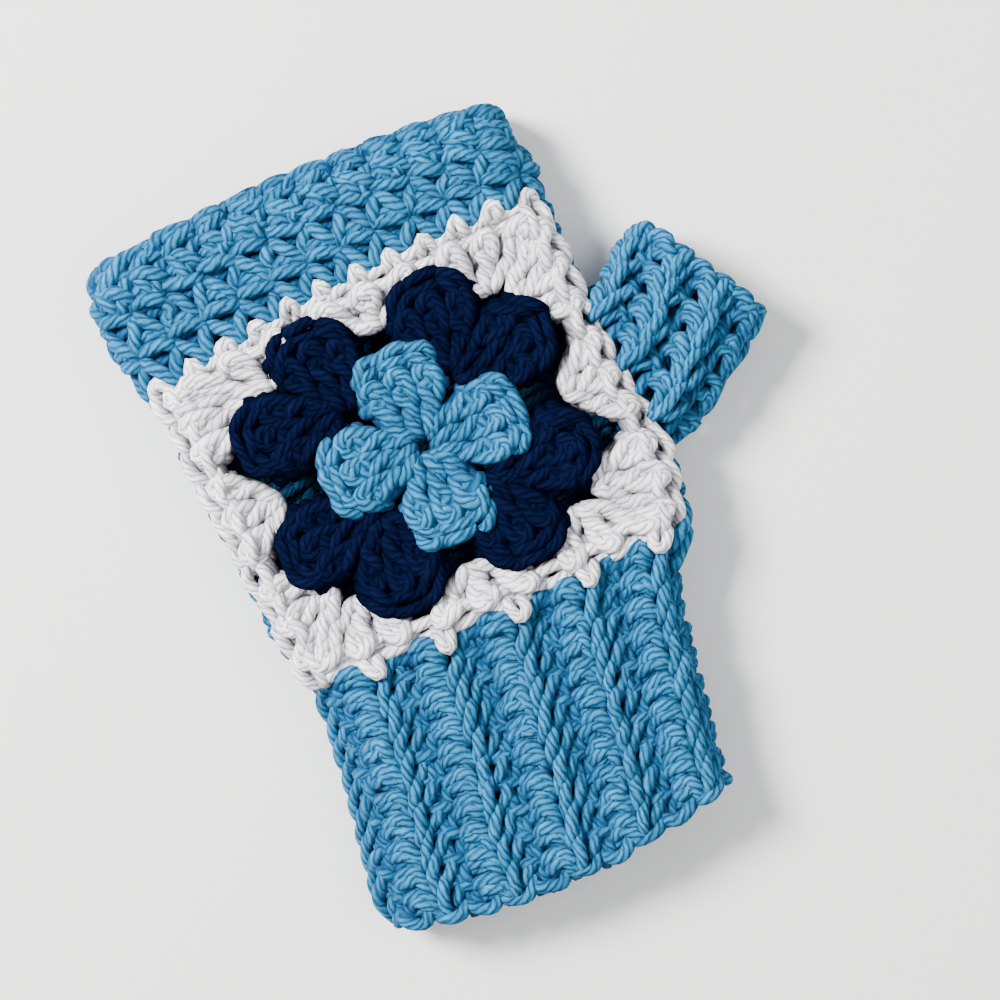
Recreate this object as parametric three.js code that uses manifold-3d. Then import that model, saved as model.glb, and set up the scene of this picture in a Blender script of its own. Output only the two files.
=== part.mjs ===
// A crochet fingerless glove for the left hand, lying palm down: a ribbed wrist cuff, a plain palm
// panel, a granny square of three rounds on the back of the hand, a knuckle band and a thumb sleeve.
// Millimetres. +Z is up, +Y runs from the wrist to the fingers and +X runs towards the thumb.
// The outline, the seams and the square are charted flat, in plan, and draped on the hand's tube.
import * as THREE from "three";
import Module from "manifold-3d";

const wasm = await Module();
wasm.setup();

// Driving dimensions
const gloveLength = 176;
const handWidth = 100;
const wall = 5; // two thicknesses of a chunky yarn
const loft = 18; // height of the glove as it lies
const crown = 1.2; // rise of the back of the hand over the folds at its sides
const clearance = 0.3; // between pieces that are crocheted together
const roundClearance = 0.55; // between the square's rounds, whose clusters are twisted

const ribPitch = 16.5;
const ribDepth = 1.5;
const ribPhase = 0.27; // of a rib's pitch, from the middle of the back towards the thumb
const hemScallop = 1.2;
const bandRows = 3;
const rowGroove = 1.1;
const ribSteps = 6; // facets round one rib

const clusterHeight = 3.2; // of a cluster's crown over the middle of the wall
const clusterDepth = 2; // of its underside below the middle of the wall
const stitchGroove = 1.2; // between two tall stitches
const chainWidth = 5.4;
const linkWidth = 3.6; // of the low chains between the petals
const linkThickness = 2.6;

const thumbReach = 24.5; // how far the sleeve's mouth is from its base, across the glove
const thumbBase = 44.5;
const thumbMouth = 38;
const thumbRibs = 6;

// The hand's outline in plan, from the wrist edge to the knuckle edge: shares of the glove's
// length and of the hand's width, the left side first, measured from the flower's centre line.
const outline = [
  { at: 0.0, left: -0.496, right: 0.374 },
  { at: 0.087, left: -0.51, right: 0.384 },
  { at: 0.145, left: -0.496, right: 0.401 },
  { at: 0.222, left: -0.476, right: 0.418 },
  { at: 0.299, left: -0.466, right: 0.442 },
  { at: 0.348, left: -0.468, right: 0.466 },
  { at: 0.396, left: -0.486, right: 0.503 },
  { at: 0.454, left: -0.503, right: 0.53 },
  { at: 0.531, left: -0.517, right: 0.527 },
  { at: 0.609, left: -0.53, right: 0.503 },
  { at: 0.686, left: -0.541, right: 0.49 },
  { at: 0.763, left: -0.551, right: 0.483 },
  { at: 0.831, left: -0.585, right: 0.476 },
  { at: 0.898, left: -0.61, right: 0.479 },
  { at: 0.947, left: -0.598, right: 0.461 },
  { at: 1.0, left: -0.578, right: 0.452 },
];

// Edges and seams that cross the glove, as shares of its length at the left fold, middle and right fold.
const wristEdge = { left: 0.028, middle: 0.002, right: 0.042 };
const cuffSeam = { left: 0.362, middle: 0.357, right: 0.376 };
const knuckleSeam = { left: 0.797, middle: 0.842, right: 0.853 };
const knuckleEdge = { left: 0.975, middle: 0.996, right: 0.985 };

// The thumb's sleeve, from its base inside the hand's right fold to its mouth. The middle of each
// section is a share of the reach from the base, and the turn is the way that it faces, in degrees.
const thumbStart = { x: 0.496, y: 0.598 }; // shares of the hand's width and the glove's length
const thumbSections = [
  { along: 0.0, side: 0.0, turn: 9, mouth: 0.0 },
  { along: 0.28, side: 0.1, turn: 14, mouth: 0.35 },
  { along: 0.64, side: 0.36, turn: 23, mouth: 0.5 },
  { along: 1.0, side: 0.61, turn: 32, mouth: 1.0 },
];

// The square's rounds. Half sizes are shares of the hand's width across and of the square's
// height along. On each side of a round, clusters of three tall stitches stand with their tops at
// these shares of the half side and their feet at these points of the round inside it. reach is
// half the width of a cluster's top, sag how far its corners drop and fullness, as a power of the
// way up, how it spreads: the lower, the plumper.
const squareCentre = { x: -0.004, y: 0.603 };
const rounds = {
  flower: {
    halfX: 0.248,
    halfY: 0.278,
    tops: [0],
    feet: [[0, 0.09]],
    foot: 0.11,
    reach: 0.5,
    sag: 0.1,
    fullness: 0.55,
  },
  petals: {
    halfX: 0.405,
    halfY: 0.436,
    tops: [-0.38, 0.38],
    feet: [[-0.34, 0.38], [0.34, 0.38]],
    foot: 0.07,
    reach: 0.335,
    sag: 0.1,
    fullness: 0.4,
  },
  border: {
    halfX: 0.527,
    halfY: 0.504,
    tops: [-0.64, 0, 0.64],
    feet: [[-0.52, 0.6], [0, 0.68], [0.52, 0.6]],
    foot: 0.04,
    reach: 0.31,
    sag: 0,
    fullness: 0.75,
  },
};

// A cluster from its feet to the chain that closes its top: how high it stands and how deep the
// grooves between its stitches are, as shares.
const clusterSections = [
  { at: 0.0, height: 0.7, groove: 1 },
  { at: 0.22, height: 0.95, groove: 1 },
  { at: 0.5, height: 1.05, groove: 1 },
  { at: 0.74, height: 1.0, groove: 1 },
  { at: 0.82, height: 0.75, groove: 0.5 },
  { at: 0.92, height: 1.0, groove: 0.5 },
  { at: 1.0, height: 0.4, groove: 0 },
];
// Its section, from left to right, as shares of half its width, its height and its groove.
const clusterProfile = [
  { across: -1, height: 0, groove: 0 },
  { across: -0.68, height: 1, groove: 0 },
  { across: -0.34, height: 1, groove: 1 },
  { across: 0, height: 1, groove: 0 },
  { across: 0.34, height: 1, groove: 1 },
  { across: 0.68, height: 1, groove: 0 },
  { across: 1, height: 0, groove: 0 },
];

const colours = { main: 0x4f94bd, petal: 0x101c46, border: 0xdcd8d9 };

const mix = (a, b, t) => a + (b - a) * t;

// A smooth value of one column of a table, by the rows' places in another.
function column(table, key, name, place) {
  const last = table.length - 1;
  let i = 0;
  while (i < last - 1 && table[i + 1][key] < place) i++;
  const from = table[i];
  const to = table[i + 1];
  const t = (place - from[key]) / (to[key] - from[key]);
  const before = table[Math.max(i - 1, 0)];
  const after = table[Math.min(i + 2, last)];
  const slopeIn = (to[name] - before[name]) / (to[key] - before[key]);
  const slopeOut = (after[name] - from[name]) / (after[key] - from[key]);
  const run = to[key] - from[key];
  const u = Math.min(Math.max(t, 0), 1);
  const h = u * u * (3 - 2 * u);
  return (
    mix(from[name], to[name], h) + run * (slopeIn * u * (1 - u) * (1 - u) - slopeOut * u * u * (1 - u))
  );
}

// How far along the glove a seam is, at side -1 for the left fold, 0 for the middle and 1 for the right.
function seamAt(seam, side) {
  const lean = (seam.right - seam.left) / 2;
  const sag = (seam.right + seam.left) / 2 - seam.middle;
  return gloveLength * (seam.middle + lean * side + sag * side * side);
}

// Left and right edges of the outline at a height.
function edges(y) {
  const place = y / gloveLength;
  return {
    left: handWidth * column(outline, "at", "left", place),
    right: handWidth * column(outline, "at", "right", place),
  };
}

// A flattened tube's section: straight above and below, and round at the folds. share runs once
// round it, from the middle of the top towards the right. half and rise are the middle of the wall.
function section(half, rise, share) {
  const flat = Math.max(half - rise, 0);
  const arc = Math.PI * rise;
  const lap = 4 * flat + 2 * arc;
  let run = (share - Math.floor(share)) * lap;
  if (run < flat) return { x: run, z: rise, nx: 0, nz: 1 };
  run -= flat;
  if (run < arc) return turned(flat, rise, run / rise);
  run -= arc;
  if (run < 2 * flat) return { x: flat - run, z: -rise, nx: 0, nz: -1 };
  run -= 2 * flat;
  if (run < arc) return turned(-flat, rise, Math.PI + run / rise);
  run -= arc;
  return { x: run - flat, z: rise, nx: 0, nz: 1 };
}

function turned(x, rise, angle) {
  const nx = Math.sin(angle);
  const nz = Math.cos(angle);
  return { x: x + rise * nx, z: rise * nz, nx, nz };
}

// The rise of the top over the folds, and nothing on the underside.
const crownAt = (x, half, nz) => (nz > 0 ? crown * nz * (1 - Math.min(1, (x / half) ** 2)) : 0);

// A point of the hand's tube between two seams, off outwards from the middle of the wall.
function onHand(lower, upper, t, share, off) {
  const yAt = (side) => mix(seamAt(lower, side), seamAt(upper, side), t);
  const left = edges(yAt(-1)).left;
  const right = edges(yAt(1)).right;
  const half = (right - left - wall) / 2;
  const rise = (loft - wall) / 2;
  const p = section(half, rise, share);
  const side = Math.min(Math.max(p.x / half, -1), 1);
  return new THREE.Vector3(
    (left + right) / 2 + p.x + p.nx * off,
    yAt(side),
    loft / 2 + p.z + p.nz * off + crownAt(p.x, half, p.nz),
  );
}

// A point of the square's chart, draped over the top of the hand: x is measured round the wall,
// so that it runs on over the fold, and lift is outwards from the middle of the wall.
function onBack(x, y, lift) {
  const { left, right } = edges(y);
  const half = (right - left - wall) / 2;
  const rise = (loft - wall) / 2;
  const flat = half - rise;
  const middle = (left + right) / 2;
  const reach = x - middle;
  const over = Math.max(Math.abs(reach) - flat, 0) / rise;
  const way = Math.sign(reach);
  const nx = way * Math.sin(over);
  const nz = Math.cos(over);
  const px = over > 0 ? way * flat + rise * nx : reach;
  return new THREE.Vector3(
    middle + px + nx * lift,
    y,
    loft / 2 + nz * (rise + lift) + crownAt(px, half, nz),
  );
}

// A closed solid from rings of equal length, each end closed by a fan from the hub's point of it.
function closedSweep(rings, hub = 0) {
  const sides = rings[0].length;
  const points = rings.flat();
  const index = [];
  for (let i = 0; i + 1 < rings.length; i++)
    for (let j = 0; j < sides; j++) {
      const a = i * sides + j;
      const b = i * sides + ((j + 1) % sides);
      index.push(a, b, a + sides, b, b + sides, a + sides);
    }
  const last = (rings.length - 1) * sides;
  for (let j = 1; j + 1 < sides; j++) {
    const [a, b] = [(hub + j) % sides, (hub + j + 1) % sides];
    index.push(hub, b, a, last + hub, last + a, last + b);
  }
  return solid(points, index);
}

// A closed solid between an outer and an inner grid. A loop joins its last column to its first.
function shell(outer, inner, loop) {
  const rows = outer.length;
  const columns = outer[0].length;
  const points = [...outer.flat(), ...inner.flat()];
  const inside = rows * columns;
  const index = [];
  const quad = (a, b, c, d) => index.push(a, c, b, a, d, c);
  const steps = loop ? columns : columns - 1;
  const at = (i, j) => i * columns + (j % columns);
  for (let i = 0; i + 1 < rows; i++)
    for (let j = 0; j < steps; j++) {
      const [a, b, c, d] = [at(i, j), at(i, j + 1), at(i + 1, j + 1), at(i + 1, j)];
      quad(a, d, c, b);
      quad(inside + a, inside + b, inside + c, inside + d);
    }
  for (let j = 0; j < steps; j++) {
    const top = (rows - 1) * columns;
    const next = (j + 1) % columns;
    quad(j, next, inside + next, inside + j);
    quad(top + j, inside + top + j, inside + top + next, top + next);
  }
  if (!loop)
    for (let i = 0; i + 1 < rows; i++) {
      const [a, b] = [at(i, 0), at(i + 1, 0)];
      const [c, d] = [at(i, columns - 1), at(i + 1, columns - 1)];
      quad(a, inside + a, inside + b, b);
      quad(c, d, inside + d, inside + c);
    }
  return solid(points, index);
}

function solid(points, index) {
  const made = new wasm.Manifold(
    new wasm.Mesh({
      numProp: 3,
      vertProperties: new Float32Array(points.flatMap((p) => [p.x, p.y, p.z])),
      triVerts: new Uint32Array(index),
    }),
  );
  return made;
}

const union = (solids) => wasm.Manifold.union(solids);

// Counted steps from 0 to 1, ends included.
const steps = (count) => Array.from({ length: count + 1 }, (_, i) => i / count);

// Perimeter of the hand's tube half way between two seams, at the middle of the wall.
function lapBetween(lower, upper) {
  const y = (seamAt(lower, 0) + seamAt(upper, 0)) / 2;
  const { left, right } = edges(y);
  const rise = (loft - wall) / 2;
  return 2 * (right - left - wall - 2 * rise) + 2 * Math.PI * rise;
}

// The cuff's ribs run along the glove, and its hem dips at each rib.
function wristCuff() {
  const ribs = Math.round(lapBetween(wristEdge, cuffSeam) / ribPitch);
  const shares = Array.from({ length: ribs * ribSteps }, (_, i) => i / (ribs * ribSteps));
  const wave = (share) => (1 - Math.cos(2 * Math.PI * (ribs * share - ribPhase))) / 2;
  const grid = (depth, offset) =>
    steps(6).map((t) =>
      shares.map((share) => {
        const p = onHand(wristEdge, cuffSeam, t, share, offset - depth * wave(share));
        p.y += hemScallop * wave(share) * (1 - t) ** 4 - clearance * t;
        return p;
      }),
    );
  return shell(grid(ribDepth, wall / 2), grid(0, -wall / 2), true);
}

// The knuckle band's rows lie round the glove, with a groove where each meets the next.
function knuckleBand() {
  const profile = [0, 0.25, 0.75];
  const rows = [];
  for (let r = 0; r < bandRows; r++)
    for (const part of profile) rows.push({ t: (r + part) / bandRows, dip: part === 0 && r > 0 ? 1 : 0 });
  rows.push({ t: 1, dip: 0.5 });
  const shares = steps(44).slice(0, -1);
  const grid = (depth, offset) =>
    rows.map(({ t, dip }) =>
      shares.map((share) => onHand(knuckleSeam, knuckleEdge, t, share, offset - depth * dip)),
    );
  return shell(grid(rowGroove, wall / 2), grid(0, -wall / 2), true);
}

// The share of the tube's section at which its right fold is this many degrees past the top.
function foldShare(degrees) {
  const y = (seamAt(cuffSeam, 0) + seamAt(knuckleSeam, 0)) / 2;
  const { left, right } = edges(y);
  const rise = (loft - wall) / 2;
  const flat = (right - left - wall) / 2 - rise;
  return (flat + (rise * degrees * Math.PI) / 180) / (4 * flat + 2 * Math.PI * rise);
}

// The palm panel lies under the hand and turns up at both folds to meet the square's border.
const palmTurn = 66; // degrees from the top of the fold to the panel's edge
function palmPanel() {
  const from = foldShare(palmTurn);
  const shares = steps(26).map((s) => mix(from, 1 - from, s));
  const grid = (offset) =>
    steps(9).map((t) =>
      shares.map((share) => {
        const p = onHand(cuffSeam, knuckleSeam, t, share, offset);
        p.y -= clearance * t;
        return p;
      }),
    );
  return shell(grid(wall / 2), grid(-wall / 2), false);
}

// A four-sided chain of yarn along charted points, low in the wall.
function lowChain(points, grow) {
  const rings = points.map(({ x, y }, i) => {
    const before = points[Math.max(i - 1, 0)];
    const after = points[Math.min(i + 1, points.length - 1)];
    const length = Math.hypot(after.x - before.x, after.y - before.y);
    const [ax, ay] = [(after.y - before.y) / length, (before.x - after.x) / length];
    const half = linkWidth / 2 + grow;
    const low = 0.3 - clusterDepth - grow;
    const high = linkThickness - clusterDepth + grow;
    const at = (k, lift) => onBack(x + k * half * ax, y + k * half * ay, lift);
    return [at(-1, (low + high) / 2), at(0, high), at(1, (low + high) / 2), at(0, low)];
  });
  return closedSweep(rings);
}

// The square's chart turned to one of its four sides: out is away from the centre, and along runs
// round the square. Half sizes across and along the glove differ, so each is scaled on its own.
function charted(side, halfX, halfY, along, out) {
  const [u, v] = [
    [along, out],
    [out, -along],
    [-along, -out],
    [-out, along],
  ][side];
  const height = seamAt(knuckleSeam, 0) - seamAt(cuffSeam, 0);
  return {
    x: handWidth * (squareCentre.x + halfX * u),
    y: gloveLength * squareCentre.y + height * halfY * v,
  };
}

// One cluster: three tall stitches that rise from one space and spread under a chain. Grown, it is
// the plain room that the next round's stitches leave for it.
function cluster(side, round, top, feet, grow) {
  const { halfX, halfY, foot: footHalf, reach, sag, fullness } = round;
  const at = (along, out) => charted(side, halfX, halfY, along, out);
  const size = handWidth * halfX;
  const rings = clusterSections.map((section, i) => {
    const end = i === 0 ? -grow : i === clusterSections.length - 1 ? grow : 0;
    const spread = section.at ** fullness;
    const half = mix(footHalf, reach, spread) + grow / size;
    const along = mix(feet[0], top, section.at);
    const out = mix(feet[1], 1, section.at) + end / size;
    const drop = sag * spread;
    const point = ({ across }, lift) => {
      const { x, y } = at(along + across * half, out - drop * across * across);
      return onBack(x, y, lift);
    };
    const high = grow > 0 ? wall : clusterHeight * section.height;
    const lift = (k) => k.height * (high - (grow > 0 ? 0 : stitchGroove * section.groove * k.groove));
    const over = clusterProfile.map((k) => point(k, lift(k)));
    const low = grow > 0 ? -wall : -clusterDepth;
    const under = [0.8, 0, -0.8].map((across) => point({ across }, low));
    return [...over, ...under];
  });
  return closedSweep(rings, clusterProfile.length + 1);
}

function clusters(round, grow = 0) {
  return [0, 1, 2, 3].flatMap((side) =>
    round.tops.map((top, i) => cluster(side, round, top, round.feet[i], grow)),
  );
}

// Chains that join the petals' pairs to each other, low in the wall, under the border's stitches.
function petalLinks(grow = 0) {
  const { halfX, halfY, tops } = rounds.petals;
  return [0, 1, 2, 3].map((side) =>
    lowChain(
      [tops[0], 0, tops[1]].map((along) => charted(side, halfX, halfY, along, 0.86)),
      grow,
    ),
  );
}

// Shares of the tube's section from one side of its top to the other, close together at the folds.
function overTop(end) {
  const [start, bend] = [foldShare(0), foldShare(45)];
  const flat = steps(10).map((s) => mix(-start, start, s));
  const fold = [mix(start, bend, 0.5), bend, mix(bend, end, 0.5), end];
  return [...fold.map((share) => -share).reverse(), ...flat, ...fold];
}

// The part of the hand's wall that the border fills: over the back from the cuff to the band, and
// round both folds to the palm panel. inset shrinks it on all four sides, and extra thickens it.
function backWall(inset, extra) {
  const over = foldShare(palmTurn) - inset / lapBetween(cuffSeam, knuckleSeam);
  const shares = overTop(over);
  const grid = (off) =>
    steps(9).map((t) =>
      shares.map((share) => {
        const p = onHand(cuffSeam, knuckleSeam, t, share, off);
        p.y += inset * (1 - 2 * t);
        return p;
      }),
    );
  return shell(grid(wall / 2 + extra), grid(-wall / 2 - extra), false);
}

// The chain of the border's edge goes once round the square, beside the cuff, the band and the palm.
const borderRim = () => backWall(clearance, 0).subtract(backWall(clearance + chainWidth, 0.35 * wall));

// A section of the thumb's sleeve: its middle in plan, the way it faces and its width.
function thumbSection({ along, side, turn, mouth }) {
  return {
    x: handWidth * thumbStart.x + thumbReach * along,
    y: gloveLength * thumbStart.y + thumbReach * side,
    angle: (turn * Math.PI) / 180,
    width: mix(thumbBase, thumbMouth, mouth),
  };
}

// A ring of the thumb's sleeve, off outwards from the middle of its wall.
function thumbRing(spec, shares, off) {
  const { x, y, angle, width } = thumbSection(spec);
  const half = (width - wall) / 2;
  const rise = (loft - wall) / 2;
  return shares.map((share) => {
    const p = section(half, rise, share);
    const reach = -(p.x + p.nx * off(share));
    return new THREE.Vector3(
      x - reach * Math.sin(angle),
      y + reach * Math.cos(angle),
      loft / 2 + p.z + p.nz * off(share) + crownAt(p.x, half, p.nz) * 0.5,
    );
  });
}

// The sleeve's ribs run along the thumb.
function thumbSleeve() {
  const count = thumbRibs * ribSteps;
  const shares = Array.from({ length: count }, (_, i) => i / count);
  const wave = (share) => (1 - Math.cos(2 * Math.PI * thumbRibs * share)) / 2;
  const outer = thumbSections.map((s) => thumbRing(s, shares, (f) => wall / 2 - ribDepth * wave(f)));
  const inner = thumbSections.map((s) => thumbRing(s, shares, () => -wall / 2));
  return shell(outer, inner, true);
}

// The room that the hand leaves for the sleeve, a clearance larger all round, and the way through
// the hand's wall that joins the two hollows.
function thumbRoom() {
  const shares = steps(24).slice(0, -1);
  const [first, ...others] = thumbSections;
  const inward = (run) => ({ ...first, along: -run / thumbReach });
  const around = [inward(clearance), ...others].map((s) =>
    thumbRing(s, shares, () => wall / 2 + clearance),
  );
  const through = [inward(2 * wall), others[0]].map((s) => thumbRing(s, shares, () => -wall / 2));
  return closedSweep(around).add(closedSweep(through));
}

// The largest body of a solid, without the slivers and the shortest edges that cuts leave.
function tidied(made) {
  const bodies = made.simplify(0.04).decompose();
  return bodies.reduce((a, b) => (a.volume() > b.volume() ? a : b));
}

function mesh(name, made, colour) {
  const { vertProperties, triVerts, numProp } = tidied(made).getMesh();
  const count = vertProperties.length / numProp;
  const xyz = new Float32Array(3 * count);
  for (let i = 0; i < count; i++) xyz.set(vertProperties.subarray(i * numProp, i * numProp + 3), 3 * i);
  const geometry = new THREE.BufferGeometry()
    .setAttribute("position", new THREE.BufferAttribute(xyz, 3))
    .setIndex(new THREE.BufferAttribute(new Uint32Array(triVerts), 1));
  geometry.computeVertexNormals();
  const material = new THREE.MeshStandardMaterial({ color: colour, roughness: 0.9, metalness: 0 });
  const made3 = new THREE.Mesh(geometry, material);
  made3.name = name;
  return made3;
}

const { flower, petals, border } = rounds;
const room = thumbRoom();
const flowerRoom = union(clusters(flower, roundClearance));
const petalRoom = union([...clusters(petals, roundClearance), ...petalLinks(roundClearance)]);
const flowerSolid = union(clusters(flower));
const petalSolid = union([...clusters(petals), ...petalLinks()]).subtract(flowerRoom);
const borderSolid = union(clusters(border))
  .intersect(backWall(clearance + 1, wall))
  .add(borderRim())
  .subtract(petalRoom)
  .subtract(flowerRoom)
  .subtract(room);

const glove = new THREE.Group();
glove.name = "crochet_glove";
glove.add(mesh("wrist_cuff", wristCuff(), colours.main));
glove.add(mesh("palm_panel", palmPanel().subtract(room), colours.main));
glove.add(mesh("flower_round", flowerSolid, colours.main));
glove.add(mesh("petal_round", petalSolid, colours.petal));
glove.add(mesh("border_round", borderSolid, colours.border));
glove.add(mesh("knuckle_band", knuckleBand(), colours.main));
glove.add(mesh("thumb_sleeve", thumbSleeve(), colours.main));

// The origin is under the middle of the whole glove, on the surface that it lies on.
const bounds = new THREE.Box3().setFromObject(glove);
const middle = bounds.getCenter(new THREE.Vector3());
glove.position.set(-middle.x, -middle.y, -bounds.min.z);

export default glove;
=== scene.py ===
"""A crochet fingerless glove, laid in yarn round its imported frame, on a plain pale stage.

Every stitch is a strand of yarn swept along its own path. The paths are charted flat: a hand's plan in
millimetres, as the glove lies, and shares of a stitch and a row. They are then draped on the hand's tube.
"""
from functools import partial
from math import pi, radians, sin

import bpy
import numpy as np
from bpy.props import FloatProperty, FloatVectorProperty, IntProperty, PointerProperty
from mathutils import Matrix, Vector


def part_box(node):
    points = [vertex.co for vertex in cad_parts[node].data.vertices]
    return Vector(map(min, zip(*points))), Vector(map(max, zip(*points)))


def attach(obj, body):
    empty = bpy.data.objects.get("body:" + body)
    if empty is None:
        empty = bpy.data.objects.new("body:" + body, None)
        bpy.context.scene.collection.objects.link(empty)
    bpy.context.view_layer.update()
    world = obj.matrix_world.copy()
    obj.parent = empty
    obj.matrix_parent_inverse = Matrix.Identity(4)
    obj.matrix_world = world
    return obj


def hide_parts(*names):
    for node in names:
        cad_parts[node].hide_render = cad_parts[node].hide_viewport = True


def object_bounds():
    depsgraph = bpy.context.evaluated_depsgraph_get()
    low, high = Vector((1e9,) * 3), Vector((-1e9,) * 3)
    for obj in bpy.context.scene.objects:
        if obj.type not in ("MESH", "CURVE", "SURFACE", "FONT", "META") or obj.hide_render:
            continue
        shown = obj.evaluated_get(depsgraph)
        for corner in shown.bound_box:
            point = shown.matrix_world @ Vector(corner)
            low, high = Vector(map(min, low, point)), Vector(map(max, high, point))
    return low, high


bl_info = {
    "name": "Crochet glove",
    "version": (1, 0, 0),
    "blender": (4, 5, 0),
    "location": "3D View > Sidebar > Glove",
    "description": "Lays the yarn of a crochet fingerless glove round its frame",
    "category": "Add Mesh",
}

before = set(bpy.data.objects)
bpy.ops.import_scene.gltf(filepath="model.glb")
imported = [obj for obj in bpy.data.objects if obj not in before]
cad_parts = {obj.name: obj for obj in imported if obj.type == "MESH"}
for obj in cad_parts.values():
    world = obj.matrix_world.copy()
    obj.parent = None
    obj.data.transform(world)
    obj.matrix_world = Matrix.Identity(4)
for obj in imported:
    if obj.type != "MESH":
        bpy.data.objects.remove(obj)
CAD_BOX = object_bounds()
MM = 0.001

# The hand's outline in plan, from the wrist edge to the knuckle edge: shares of the glove's length
# and of the hand's width, measured from the flower's centre line.
OUTLINE = {
    "at": (0.0, 0.087, 0.145, 0.222, 0.299, 0.348, 0.396, 0.454, 0.531, 0.609, 0.686, 0.763, 0.831, 0.898, 0.947,
           1.0),
    "left": (-0.496, -0.51, -0.496, -0.476, -0.466, -0.468, -0.486, -0.503, -0.517, -0.53, -0.541, -0.551, -0.585,
             -0.61, -0.598, -0.578),
    "right": (0.374, 0.384, 0.401, 0.418, 0.442, 0.466, 0.503, 0.53, 0.527, 0.503, 0.49, 0.483, 0.476, 0.479, 0.461,
              0.452),
}

# Edges and seams that cross the glove, as shares of its length at the left fold, middle and right fold.
WRIST_EDGE = {"left": 0.028, "middle": 0.002, "right": 0.042}
CUFF_SEAM = {"left": 0.362, "middle": 0.357, "right": 0.376}
KNUCKLE_SEAM = {"left": 0.797, "middle": 0.842, "right": 0.853}
KNUCKLE_EDGE = {"left": 0.975, "middle": 0.996, "right": 0.985}
PALM_TURN = 66  # degrees from the top of a fold to the palm panel's edge

# The thumb's sleeve from its base to its mouth: the middle of each section as a share of its reach,
# the way it faces in degrees, and how far its width has gone from the base's to the mouth's.
THUMB = {
    "along": (0.0, 0.28, 0.64, 1.0),
    "side": (0.0, 0.1, 0.36, 0.61),
    "turn": (9.0, 14.0, 23.0, 32.0),
    "mouth": (0.0, 0.35, 0.5, 1.0),
}
THUMB_START = (0.496, 0.598)  # shares of the hand's width and the glove's length
THUMB_REACH = 24.5  # mm from the base to the mouth, across the glove
THUMB_BASE = 44.5  # mm across the sleeve as it lies
THUMB_MOUTH = 38.0

# The square's rounds. Half sizes are shares of the hand's width across and of the square's height
# along, and shift is how far a round sits off the square's centre, in millimetres. Each side has
# clusters of three tall stitches. Tops and feet are their middles, feet along and out, in shares of
# the half side. Reach is half a cluster's width at its top and foot at its feet, fullness how soon it
# widens, lean the share of reach where its outer two stitches stand, and sag how far they stop short
# of the middle one. Inset is how far the heads stay within the half size, and low how far the feet go under the
# round inside, both in millimetres.
SQUARE_CENTRE = (-0.004, 0.603)
ROUNDS = {
    "flower": {"half": (0.248, 0.278), "shift": (0.0, 0.0), "tops": (0.0,), "feet": ((0.0, 0.12),),
               "foot": 0.13, "reach": 0.5, "fullness": 0.5, "lean": 0.68, "sag": 0.06, "inset": 5.0, "low": 0.0},
    "petals": {"half": (0.391, 0.421), "shift": (-1.3, 1.2), "tops": (-0.38, 0.38),
               "feet": ((-0.34, 0.38), (0.34, 0.38)),
               "foot": 0.07, "reach": 0.335, "fullness": 0.4, "lean": 0.62, "sag": 0.065, "inset": 5.0, "low": 0.0},
    "border": {"half": (0.527, 0.504), "shift": (0.0, 0.0), "tops": (-0.64, 0.0, 0.64),
               "feet": ((-0.54, 0.64), (0.0, 0.7), (0.54, 0.64)),
               "foot": 0.04, "reach": 0.31, "fullness": 0.7, "lean": 0.68, "sag": 0.0, "inset": 3.6, "low": 1.5},
}

# Strands of a stitch. Each row is (across, up, out): across and up in shares of the stitch's width
# and of the row's height from the foot of its V, and out in millimetres from the middle of the wall.
STITCH = {
    "left_leg": ((0.04, -0.24, -1.8), (-0.03, -0.06, 0.4), (-0.15, 0.22, 1.6), (-0.31, 0.48, 1.5), (-0.45, 0.7, 0.4),
                 (-0.53, 0.84, -1.5)),
    "right_leg": ((-0.04, -0.24, -1.8), (0.04, -0.08, 0.2), (0.16, 0.18, 1.4), (0.32, 0.42, 1.3), (0.45, 0.62, 0.2),
                  (0.53, 0.76, -1.5)),
    "bar": ((-0.54, 0.9, -1.5), (-0.4, 0.95, 0.5), (-0.12, 0.91, 1.6), (0.18, 0.8, 1.5), (0.42, 0.71, 0.5),
            (0.54, 0.72, -1.4)),
    "top": ((-0.52, 1.12, -1.4), (-0.38, 1.2, 0.2), (-0.1, 1.19, 1.0), (0.2, 1.08, 0.9), (0.43, 0.97, 0.0),
            (0.54, 0.92, -1.4)),
    "back": ((-0.6, 0.45, -1.6), (0.0, 0.52, -0.8), (0.6, 0.45, -1.6)),
    "back_top": ((-0.6, 0.84, -1.2), (0.0, 0.8, -0.7), (0.6, 0.84, -1.2)),
}
STITCH_EDGE = {
    "front": ((-0.58, 0.6, -1.2), (-0.42, 0.64, 0.8), (-0.08, 0.76, 1.8), (0.26, 0.93, 1.3), (0.5, 1.02, -0.3),
              (0.62, 1.0, -1.8)),
    "slant": ((-0.54, 0.62, -1.0), (-0.4, 0.6, 1.0), (-0.06, 0.44, 2.1), (0.28, 0.22, 1.7), (0.46, 0.08, 0.2),
              (0.52, 0.04, -1.2)),
    "back": ((-0.56, 0.96, -1.8), (-0.25, 1.04, -0.8), (0.2, 1.04, -0.8), (0.52, 0.94, -1.8)),
}
ROW_SHIFTS = (0.0, 0.5, 0.72)  # shares of a stitch that the band's rows start further on

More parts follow.
